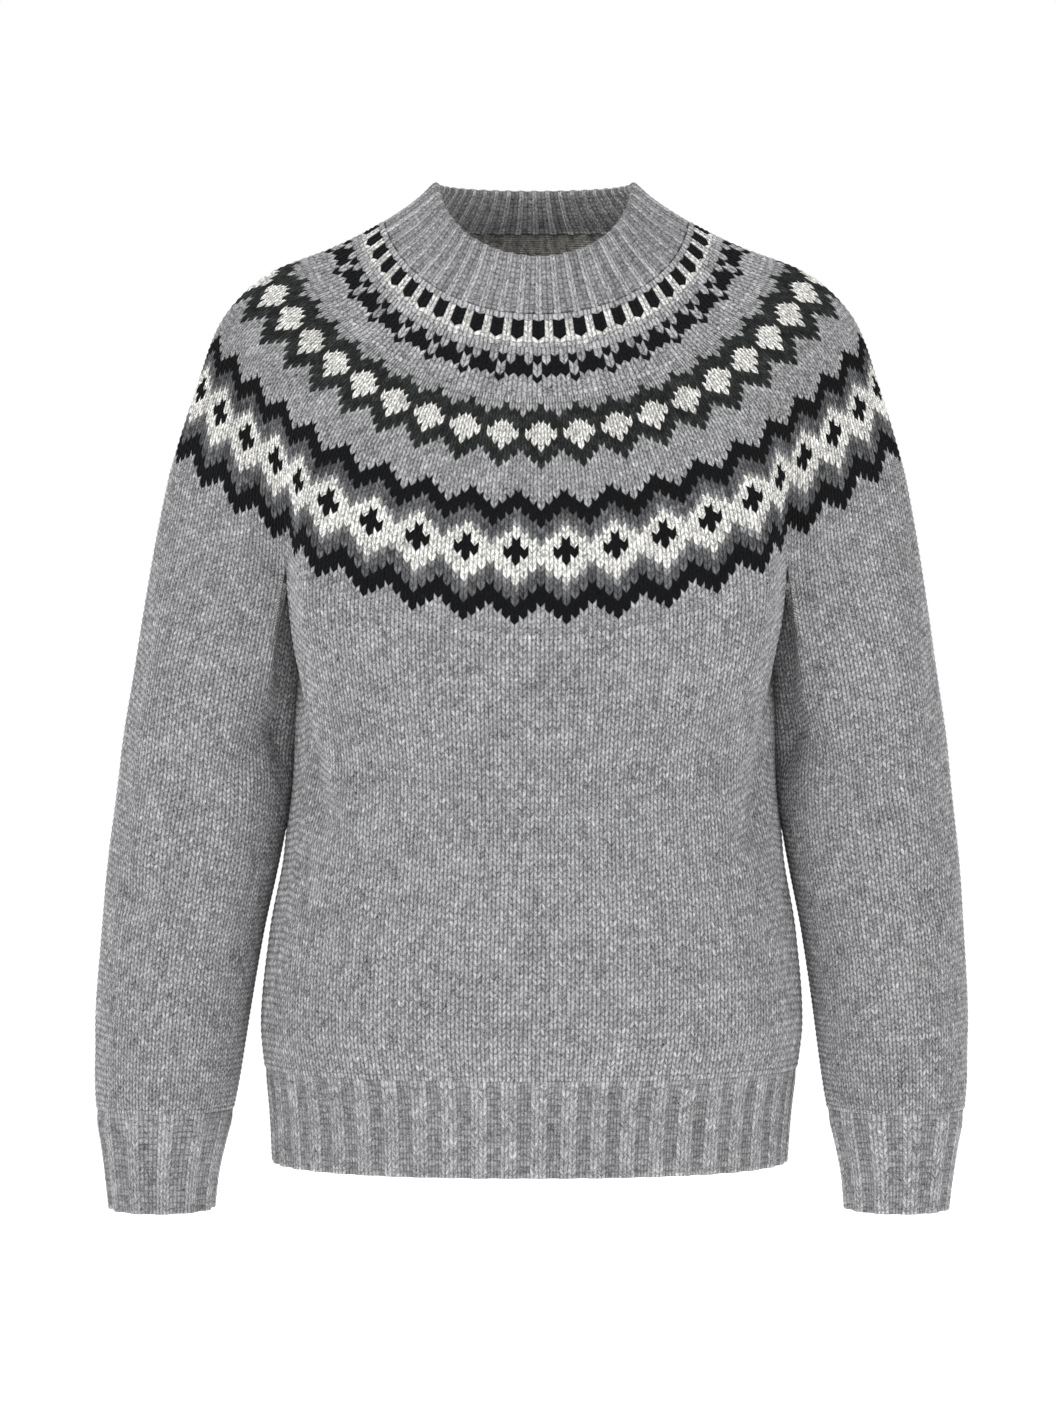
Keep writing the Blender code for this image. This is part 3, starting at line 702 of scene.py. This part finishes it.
wide_chart = DOT_CHART + CROSS_CHART
CROSSES, BLOCKS, OVALS, REPEAT = 40, 48, 32, len(wide_chart[0])
wide_colours = np.repeat(charted(wide_chart, CROSSES), ROWS_A_STITCH, axis=0)
arm_tops = ROWS_A_STITCH * wide_chart.index("WWBBBW")
dot_tops = ROWS_A_STITCH * wide_chart.index("WCCCCC") + 1
COVERED = (
    (arm_tops, 2), (arm_tops, 4), (dot_tops, 1), (dot_tops, 5), (dot_tops + 2, 2), (dot_tops + 2, 4),
)
for half_row, column in COVERED:  # thick white yarn covers half a row of its dark neighbour
    wide_colours[half_row, column::REPEAT] = YARNS["W"]
upper_bands = [
    upper_band(BLOCK_CHART, BLOCKS, 0, 5, share=0.6, turn=-0.3),
    upper_band(OVAL_CHART, OVALS, 5, LOWER_START, turn=-0.15),
]
wide_back = reverse_side(wide_colours[::ROWS_A_STITCH])
wide_band = knit_wall(lower_yoke, yoke_normals, wide_colours, wide_back, True, False, True, LOWER_START)
yoke_upper = joined("yoke_upper_knit", upper_bands)
yoke_lower = joined("yoke_lower_knit", [wide_band])

# %% [markdown]
# ## Body panels and sleeves
# The same wall, in the main yarn. The body's panels meet at the side seams, and under the arm
# their stitches start from a straight edge, as a cast-on does.

# %% Make the body panels and sleeves
def body_panel(side, rows, middle):
    """Half of the body tube, a quarter of the round to each side of its middle stitch."""
    quarter = BODY_STITCHES * COLUMNS_A_STITCH // 4
    steps = np.arange(-quarter, quarter + 1)
    columns = (steps + middle * COLUMNS_A_STITCH) % grid_of[side].shape[1]
    under_arm = np.abs(steps) / COLUMNS_A_STITCH > half_front
    chart = plain(rows, BODY_STITCHES // 2)
    arrays = knit_wall(grid_of[side][:, columns], normals_of[side][:, columns], chart,
                       reverse_side(chart), under_arm, True, False)
    return joined("body_" + side + "_knit", [arrays])


def sleeve_tube(side):
    """A whole sleeve between the yoke and its cuff."""
    stitches = quarter_stitches(SLEEVE_STITCHES)
    away = np.abs((stitches + SLEEVE_STITCHES / 2) % SLEEVE_STITCHES - SLEEVE_STITCHES / 2)
    chart = plain(SLEEVE_ROWS, SLEEVE_STITCHES)
    arrays = knit_wall(grid_of[side], normals_of[side], chart, reverse_side(chart),
                       away > half_arm, True, True)
    return joined("sleeve_" + side + "_knit", [arrays])


body = {"front": body_panel("front", FRONT_ROWS, 0)}
body["back"] = body_panel("back", BACK_ROWS, BODY_STITCHES // 2)
sleeve = {side: sleeve_tube(side) for side in ("left", "right")}

# %% [markdown]
# ## Ribbing
# A rib alternates knit and purl stitches. Knit columns stand up as chains of Vs and purl columns
# sink between them and show small bumps. The hem and cuffs have two of each, the neckband one of
# each. Knit columns also spread and squeeze the purl ones, so the columns are unevenly wide.

# %% Rib profiles
# The knit factor paints light on the knit columns where it is above 1, and the purl factor paints shade
# on the purl columns.
WIDE_RIB = {  # two knit, two purl: sixteen columns of faces
    "lift": np.array([0.2, 0.8, 0.62, 0.95, 0.8, 0.95, 0.62, 0.8,
                      0.2, -0.45, -0.6, -0.68, -0.75, -0.68, -0.6, -0.45]),
    "slide": np.array([0, 1, 2, 1, 0, 1, 2, 1, 0, 0, 0, 0, 0, 0, 0, 0]),
    "knit_share": 0.56,
    "knit_painted_light": 1.0,
    "purl_painted_shade": 0.7,
    "relief": 1.25 * MM,
}
FINE_RIB = {  # one knit, one purl: eight columns of faces
    "lift": np.array([-0.6, 0.2, 0.05, 0.2, -0.6, -1.15, -1.3, -1.15]),
    "slide": np.array([0, 1, 2, 1, 0, 0, 0, 0]),
    "knit_share": 0.4,
    "knit_painted_light": 1.1,
    "purl_painted_shade": 0.68,
    "relief": 1.1 * MM,
}
LEG_BUMP, PURL_BUMP, RIB_BACK = 0.3, 0.45, 0.85


def rib_relief(half_rows, columns, rib):
    """Height of each vertex: the column's own level, and a bump on every other half row."""
    around = len(rib["lift"])
    column = np.arange(columns) % around
    bump = np.where(column < around // 2, LEG_BUMP, PURL_BUMP) * (column > 0)
    odd = np.arange(half_rows)[:, None] % 2
    return rib["relief"] * (rib["lift"][column] + odd * bump)


def rib_chart(rows, stitches, rib):
    """The main yarn, with painted shade on the purl columns and painted light on the knit ones: their
    dye is the same, but the deep fibres between two ribs get and give back less light than a surface can
    show."""
    in_repeat = len(rib["lift"]) // COLUMNS_A_STITCH
    knit = np.arange(stitches) % in_repeat < in_repeat // 2
    return plain(rows, stitches) * np.where(knit, rib["knit_painted_light"], rib["purl_painted_shade"])[None, :, None]


def rib_wall(grid, normals, rows, rib, wrap):
    """A closed wall of ribbing on a smooth grid. Its relief grows from the plain knitting's edge."""
    half_rows, columns = grid.shape[:2]
    slide = slide_of(half_rows, columns, True, True, rib["slide"])
    start = np.clip(np.arange(half_rows) / RAMP, 0, 1)[:, None]
    relief = start * rib_relief(half_rows, columns, rib)
    outer = slid(grid, slide) + relief[..., None] * slid(normals, slide)
    inner = (grid - RIB_WALL * normals)[::ROWS_A_STITCH, ::COLUMNS_A_STITCH]
    chart = rib_chart(rows, columns // COLUMNS_A_STITCH, rib)
    return wall_arrays(outer, inner, chart, RIB_BACK * chart, wrap)


def rib_turns(repeats, rib, shift=0.0):
    """Where each column of a rib lies round a piece, in turns. shift is in repeats."""
    return (uneven_columns(repeats, len(rib["lift"]), rib["knit_share"]) - shift) / repeats


# %% Make the hem and cuffs
HEM_RIB_ROWS, CUFF_RIB_ROWS = 16, 17
HEM_REPEATS, CUFF_REPEATS, NECK_REPEATS = 48, 12, 48


def level_band(outline, turns, top, end, rows):
    """A smooth grid between two heights on the level sections."""
    z = np.linspace(top, end, ROWS_A_STITCH * rows + 1)[:, None]
    return section(outline, np.repeat(z, len(turns), axis=1), turns)


hem_turns = rib_turns(HEM_REPEATS, WIDE_RIB)
hem_grid = level_band(body_outline, hem_turns, HEM_TOP, HEM_END, HEM_RIB_ROWS)
hem_normals = grid_normals(hem_grid)
hem = {}
quarter = len(hem_turns) // 4
for side, start in (("front", -quarter), ("back", quarter)):
    columns = np.arange(start, start + 2 * quarter + 1) % len(hem_turns)
    arrays = rib_wall(hem_grid[:, columns], hem_normals[:, columns], HEM_RIB_ROWS, WIDE_RIB, False)
    hem[side] = joined("hem_" + side + "_rib", [arrays])

cuff_turns = rib_turns(CUFF_REPEATS, WIDE_RIB)
cuff_grid = level_band(sleeve_outline, cuff_turns, CUFF_TOP, CUFF_END, CUFF_RIB_ROWS)
cuff = {}
for side, grid in (("left", cuff_grid), ("right", mirrored(cuff_grid))):
    arrays = rib_wall(grid, grid_normals(grid), CUFF_RIB_ROWS, WIDE_RIB, True)
    cuff[side] = joined("cuff_" + side + "_rib", [arrays])

# %% [markdown]
# ## The neckband
# The neckband is a strip of rib twice as deep as it shows, folded to the inside and sewn down.
# Its section is a long loop: up the inside, over a round edge, and down the outside. That loop is
# swept round the neck as one grid.

# %% Make the neckband
CAP_STEPS = 5
CAP_ROW = 0.7 - NECK_ROWS  # where the round edge starts, so that its top is the band's top
# Painted light: the neckband's inner half is painted 1.7 times as light as its yarn.
NECK_PAINTED_LIGHT = 1.7  # inside the neck, light comes through the wool
FLAT_SHARE, FLAT_REACH = 0.7, 4  # how far, and over how many half rows, the fold flattens the ribs
neck_turns = rib_turns(NECK_REPEATS, FINE_RIB, FINE_RIB["knit_share"] / 2)
outside = rings(np.linspace(CAP_ROW, 0, ROWS_A_STITCH * NECK_ROWS + 1), neck_turns)
outward = grid_normals(outside)
upward = unit(outside[0] - outside[1])
radius = NECKBAND_WALL / 2
cap_angles = np.linspace(0, np.pi, CAP_STEPS + 2)[1:-1][::-1]
cap_out = [np.cos(angle) * outward[0] + np.sin(angle) * upward for angle in cap_angles]
middle = outside[0] - radius * outward[0]
cap = [middle + radius * direction for direction in cap_out]
within = (outside - NECKBAND_WALL * outward)[::-1]
loop = np.concatenate([within, cap, outside])
loop_out = np.concatenate([-outward[::-1], cap_out, outward])
half_rows, columns = loop.shape[:2]
slide = slide_of(half_rows, columns, True, True, FINE_RIB["slide"])
from_edge = np.arange(half_rows) - (half_rows - 1) / 2
calm = 1 - FLAT_SHARE * np.exp(-((from_edge / FLAT_REACH) ** 2))
relief = rib_relief(half_rows, columns, FINE_RIB) * calm[:, None]
lifted = slid(loop, slide) + relief[..., None] * unit(slid(loop_out, slide))
index = numbered(half_rows, columns, True)
quads, place = four_sided(np.concatenate([index, index[:1]]), CORNERS)
# Painted light on the rows of the neckband's inner half.
light = np.where(np.arange(half_rows) < len(within), NECK_PAINTED_LIGHT, 1.0)[:, None, None]
neck_chart = rib_chart(1, columns // COLUMNS_A_STITCH, FINE_RIB)
neck_yarns = light * np.repeat(neck_chart, COLUMNS_A_STITCH, axis=1)
neckband = joined("neckband_rib", [(
    lifted.reshape(-1, 3),
    [quads.reshape(-1, 4)],
    np.repeat(neck_yarns.reshape(-1, 3), 4, axis=0),
    place.reshape(-1, 2) / [COLUMNS_A_STITCH, ROWS_A_STITCH],
    np.zeros(half_rows * columns),
)])

# %% [markdown]
# ## Node groups for wool
# Two effects are shared by every piece. The first draws the legs of the stitches finer than the
# mesh can: a rounded height across each leg, the twist of the two plies, and painted shade in the gap
# where legs meet. The second is the heather: fibres of lighter and darker wool, drawn out along the leg.
# Both read the piece's own stitch coordinates, so they stay on the knitting when it is posed.

# %% Node group helpers
def new_group(name, inputs, outputs):
    """A shader node group with named sockets, and its input and output nodes."""
    group = bpy.data.node_groups.new(name, "ShaderNodeTree")
    for kind, sockets in (("INPUT", inputs), ("OUTPUT", outputs)):
        for socket, type_name in sockets:
            group.interface.new_socket(name=socket, in_out=kind, socket_type="NodeSocket" + type_name)
    return group, group.nodes.new("NodeGroupInput"), group.nodes.new("NodeGroupOutput")


def calc(tree, operation, first, second=None, third=None):
    """A Math node. Each argument is a socket or a number."""
    node = tree.nodes.new("ShaderNodeMath")
    node.operation = operation
    for slot, value in enumerate((first, second, third)):
        if isinstance(value, (int, float)):
            node.inputs[slot].default_value = value
        elif value is not None:
            tree.links.new(value, node.inputs[slot])
    return node.outputs[0]


def noise(tree, vector, scale, detail=2.0, roughness=0.6):
    """A Noise Texture's value on a vector socket."""
    node = tree.nodes.new("ShaderNodeTexNoise")
    node.inputs["Scale"].default_value = scale
    node.inputs["Detail"].default_value = detail
    node.inputs["Roughness"].default_value = roughness
    tree.links.new(vector, node.inputs["Vector"])
    return node.outputs[0]


def vector_calc(tree, operation, vector, value=None, socket=1):
    """A Vector Math node. The value, three numbers or a socket, goes to its second input or to
    the one named."""
    node = tree.nodes.new("ShaderNodeVectorMath")
    node.operation = operation
    tree.links.new(vector, node.inputs[0])
    if isinstance(value, tuple):
        node.inputs[socket].default_value = value
    elif value is not None:
        tree.links.new(value, node.inputs[socket])
    return node.outputs[0]


def wave(tree, operation, value, pace):
    """The sine or cosine of a value times a pace."""
    return calc(tree, operation, calc(tree, "MULTIPLY", value, pace))


def hump(tree, value, power):
    """|sin(pi value)|^power: a rounded height that falls to 0 at whole numbers."""
    return calc(tree, "POWER", calc(tree, "ABSOLUTE", wave(tree, "SINE", value, math.pi)), power)


# %% The stitch group
def make_stitch_group():
    """Height of the legs, and the mask for the painted shade in the gaps between them. Across a leg the
    height is sin(pi f)^0.7, along it sin(pi g)^0.6, and the plies add a slanted ripple. Inside, purl
    bumps replace the legs."""
    tree, given, out = new_group("knit_stitches", [("Stitches", "Vector"), ("Inside", "Float")],
                                 [("Height", "Float"), ("GapShade", "Float")])
    split = tree.nodes.new("ShaderNodeSeparateXYZ")
    tree.links.new(given.outputs["Stitches"], split.inputs[0])
    u, v = split.outputs[0], split.outputs[1]
    f = calc(tree, "FRACT", calc(tree, "MULTIPLY", u, 2.0))
    across = hump(tree, f, 0.7)
    along = hump(tree, calc(tree, "FRACT", v), 0.6)
    leg = calc(tree, "MULTIPLY", across, calc(tree, "MULTIPLY_ADD", along, 0.8, 0.2))
    twist = wave(tree, "SINE", calc(tree, "MULTIPLY_ADD", v, 3.0, f), 2 * math.pi)
    legs = calc(tree, "MULTIPLY_ADD", calc(tree, "MULTIPLY", twist, across), 0.10, leg)
    bumps = calc(tree, "MULTIPLY_ADD", wave(tree, "SINE", v, 4 * math.pi), 0.35, 0.5)
    gather = calc(tree, "MULTIPLY_ADD", wave(tree, "COSINE", u, 2 * math.pi), 0.25, 0.75)
    purl = calc(tree, "MULTIPLY", bumps, gather)
    inside = calc(tree, "ROUND", given.outputs["Inside"])
    outside = calc(tree, "SUBTRACT", 1.0, inside)
    mixed = calc(tree, "MULTIPLY_ADD", legs, outside, calc(tree, "MULTIPLY", purl, inside))
    tree.links.new(mixed, out.inputs["Height"])
    tree.links.new(calc(tree, "SMOOTH_MIN", mixed, 0.8, 0.2), out.inputs["GapShade"])
    return tree


# %% The heather group
def make_heather_group():
    """Colour times 1 plus fibre noise, drawn out along the legs, plus a step for each leg and a
    slow drift over the cloth, times painted shade that darkens the gaps between legs. Fuzz is a fine
    height for the fibres themselves."""
    tree, given, out = new_group("heather_wool",
                                 [("Colour", "Color"), ("Stitches", "Vector"), ("Place", "Vector"),
                                  ("GapShade", "Float"), ("Contrast", "Float"), ("Depth", "Float")],
                                 [("Colour", "Color"), ("Fuzz", "Float")])
    stitches, place, depth = (given.outputs[name] for name in ("Stitches", "Place", "Depth"))
    strands = noise(tree, vector_calc(tree, "MULTIPLY", stitches, (5.0, 2.2, 1.0)), 1.0, 3.0, 0.75)
    flecks = noise(tree, place, 900.0, 2.0, 0.7)
    clumps = noise(tree, place, 260.0, 2.0, 0.6)
    drift = noise(tree, place, 45.0, 2.0, 0.5)
    cell = tree.nodes.new("ShaderNodeTexWhiteNoise")
    cell.noise_dimensions = "2D"
    leg_place = vector_calc(tree, "MULTIPLY", stitches, (2.0, 1.0, 1.0))
    tree.links.new(vector_calc(tree, "FLOOR", leg_place), cell.inputs["Vector"])
    total, leg_step = 0.0, cell.outputs["Value"]
    weights = (strands, 2.6), (flecks, 1.9), (leg_step, 0.35), (clumps, 0.95), (drift, 0.4)
    for value, weight in weights:
        total = calc(tree, "MULTIPLY_ADD", calc(tree, "SUBTRACT", value, 0.5), weight, total)
    factor = calc(tree, "MULTIPLY_ADD", total, given.outputs["Contrast"], 1.0)
    # Painted shade in the gaps between legs: where the gap mask is 0 the colour falls to 1 - 0.8 times
    # the gap shade depth, and where it is 0.8 the colour stays whole.
    ground = calc(tree, "SUBTRACT", 1.0, calc(tree, "MULTIPLY", depth, 0.8))
    shade = calc(tree, "MULTIPLY_ADD", given.outputs["GapShade"], depth, ground)
    factor = calc(tree, "MAXIMUM", calc(tree, "MULTIPLY", factor, shade), 0.05)
    scaled = vector_calc(tree, "SCALE", given.outputs["Colour"], factor, "Scale")
    tree.links.new(scaled, out.inputs["Colour"])
    tree.links.new(calc(tree, "ADD", strands, flecks), out.inputs["Fuzz"])
    return tree


STITCH_GROUP, HEATHER_GROUP = make_stitch_group(), make_heather_group()

# %% [markdown]
# ## The wool materials
# Wool is matt: light enters the fuzz and comes back from every side, and at a grazing angle the
# loose fibres catch it. So the shader has a high roughness, a low specular level and a little
# sheen. Plain knit, yoke and rib share the two groups and differ in their own values.

# %% Make the materials
def principled(name, values):
    """A material, and its Principled shader with the inputs set by name."""
    material = bpy.data.materials.new(name)
    material.use_nodes = True
    shader = material.node_tree.nodes["Principled BSDF"]
    for socket, value in values.items():
        shader.inputs[socket].default_value = value
    return material, shader


def wool(name, contrast, depth, bump, sheen):
    """A Principled material whose colour comes from the yarn attribute through the heather group,
    and whose normal comes from the stitch legs and the fibres."""
    material, shader = principled(name, {
        "Roughness": 0.95, "Specular IOR Level": 0.15, "Sheen Weight": sheen, "Sheen Roughness": 0.6,
    })
    tree = material.node_tree
    yarn, inside = tree.nodes.new("ShaderNodeAttribute"), tree.nodes.new("ShaderNodeAttribute")
    yarn.attribute_name, inside.attribute_name = "yarn", "inside"
    stitches, place = tree.nodes.new("ShaderNodeUVMap"), tree.nodes.new("ShaderNodeTexCoord")
    stitches.uv_map = "stitches"
    legs, heather = tree.nodes.new("ShaderNodeGroup"), tree.nodes.new("ShaderNodeGroup")
    legs.node_tree, heather.node_tree = STITCH_GROUP, HEATHER_GROUP
    link = tree.links.new
    link(stitches.outputs["UV"], legs.inputs["Stitches"])
    link(inside.outputs["Fac"], legs.inputs["Inside"])
    link(yarn.outputs["Color"], heather.inputs["Colour"])
    link(stitches.outputs["UV"], heather.inputs["Stitches"])
    link(place.outputs["Object"], heather.inputs["Place"])
    # The gap mask brings the painted shade between the legs into the base colour.
    link(legs.outputs["GapShade"], heather.inputs["GapShade"])
    heather.inputs["Contrast"].default_value = contrast
    heather.inputs["Depth"].default_value = depth
    link(heather.outputs["Colour"], shader.inputs["Base Color"])
    height = calc(tree, "MULTIPLY_ADD", heather.outputs["Fuzz"], 0.35, legs.outputs["Height"])
    relief = tree.nodes.new("ShaderNodeBump")
    relief.inputs["Strength"].default_value = 1.0
    relief.inputs["Distance"].default_value = bump
    link(height, relief.inputs["Height"])
    link(relief.outputs["Normal"], shader.inputs["Normal"])
    return material


# The third value, depth, sets how dark the painted shade in the gaps between legs gets.
PLAIN_WOOL = wool("plain_knit_wool", 1.1, 1.0, 1.0 * MM, 0.08)
YOKE_WOOL = wool("yoke_knit_wool", 1.15, 0.9, 1.0 * MM, 0.03)
RIB_WOOL = wool("rib_knit_wool", 1.1, 0.75, 0.8 * MM, 0.08)

# %% [markdown]
# ## Each piece's wool and its one body
# Every piece rides on the sweater's one body, takes its wool, and stands for its plain solid,
# which is hidden.

def declare(piece, node, material):
    """One piece of the sweater: its wool, its place on the sweater's body, and its plain solid hidden.
    """
    piece.data.materials.append(material)
    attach(piece, "root")
    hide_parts(node)


declare(yoke_upper, "yoke", YOKE_WOOL)
declare(yoke_lower, "yoke", YOKE_WOOL)
declare(body["front"], "body_front", PLAIN_WOOL)
declare(body["back"], "body_back", PLAIN_WOOL)
for side, piece in sleeve.items():
    declare(piece, "sleeve_" + side, PLAIN_WOOL)
for side, piece in hem.items():
    declare(piece, "hem_" + side, RIB_WOOL)
for side, piece in cuff.items():
    declare(piece, "cuff_" + side, RIB_WOOL)
declare(neckband, "neckband", RIB_WOOL)

# %% [markdown]
# ## Studio
# A plain pale floor well below the sweater, a white surround, and wide soft lights from the front
# and above. The surround is white to the camera and dimmer as a light, so that the lights give the
# folds some shape.

# %% Floor, surround and lights
FLOOR_Z, FLOOR_SIZE, CAMERA_GLOW, WORLD_GLOW = -1.0, 30.0, 0.67, 0.33
bpy.ops.mesh.primitive_plane_add(size=FLOOR_SIZE, location=(0, 0, FLOOR_Z))
floor = bpy.context.object
floor.name = "studio_floor"
pale, _ = principled("pale_floor", {
    "Base Color": (0.95, 0.95, 0.95, 1), "Roughness": 0.9,
    "Emission Color": (1, 1, 1, 1), "Emission Strength": 0.75,
})
floor.data.materials.append(pale)

world = bpy.data.worlds.new("white_surround")
bpy.context.scene.world = world
world.use_nodes = True
sky = world.node_tree
background = sky.nodes["Background"]
background.inputs["Color"].default_value = (1, 1, 1, 1)
seen = sky.nodes.new("ShaderNodeLightPath")
strength = calc(sky, "MULTIPLY_ADD", seen.outputs["Is Camera Ray"], CAMERA_GLOW, WORLD_GLOW)
sky.links.new(strength, background.inputs["Strength"])


def soft_light(name, place, aim, size, power):
    """A square area light at a place, turned to face its aim."""
    light = bpy.data.lights.new(name, "AREA")
    light.shape, light.size, light.energy = "SQUARE", size, power
    lamp = bpy.data.objects.new(name, light)
    bpy.context.scene.collection.objects.link(lamp)
    lamp.location = place
    towards = np.array(aim) - np.array(place)
    yaw = math.atan2(towards[1], towards[0]) - math.pi / 2
    pitch = math.atan2(towards[2], math.hypot(towards[0], towards[1])) + math.pi / 2
    lamp.rotation_euler = (pitch, 0, yaw)
    lamp.visible_camera = False
    return lamp


CHEST = (0.0, 0.0, -0.3)
soft_light("key_light", (-1.6, -2.2, 1.1), CHEST, 1.6, 40)
soft_light("fill_light", (1.9, -2.0, 0.5), CHEST, 1.6, 21)
soft_light("back_light", (0.6, 2.6, 1.0), CHEST, 1.8, 30)
soft_light("top_light", (0.0, -0.2, 2.2), CHEST, 1.6, 22)

# %% Camera
DISTANCE, HEIGHT = 2.5, -0.316
SPAN = 929.28 * MM  # the height that the view covers at the sweater's middle
eye = bpy.data.cameras.new("camera")
eye.sensor_width = 36.0
eye.lens = eye.sensor_width * DISTANCE / SPAN
camera = bpy.data.objects.new("camera", eye)
bpy.context.scene.collection.objects.link(camera)
camera.location = (-0.0023, -DISTANCE, HEIGHT)
camera.rotation_euler = (math.pi / 2, 0, 0)
bpy.context.scene.camera = camera
bpy.context.scene.view_settings.view_transform = "Standard"
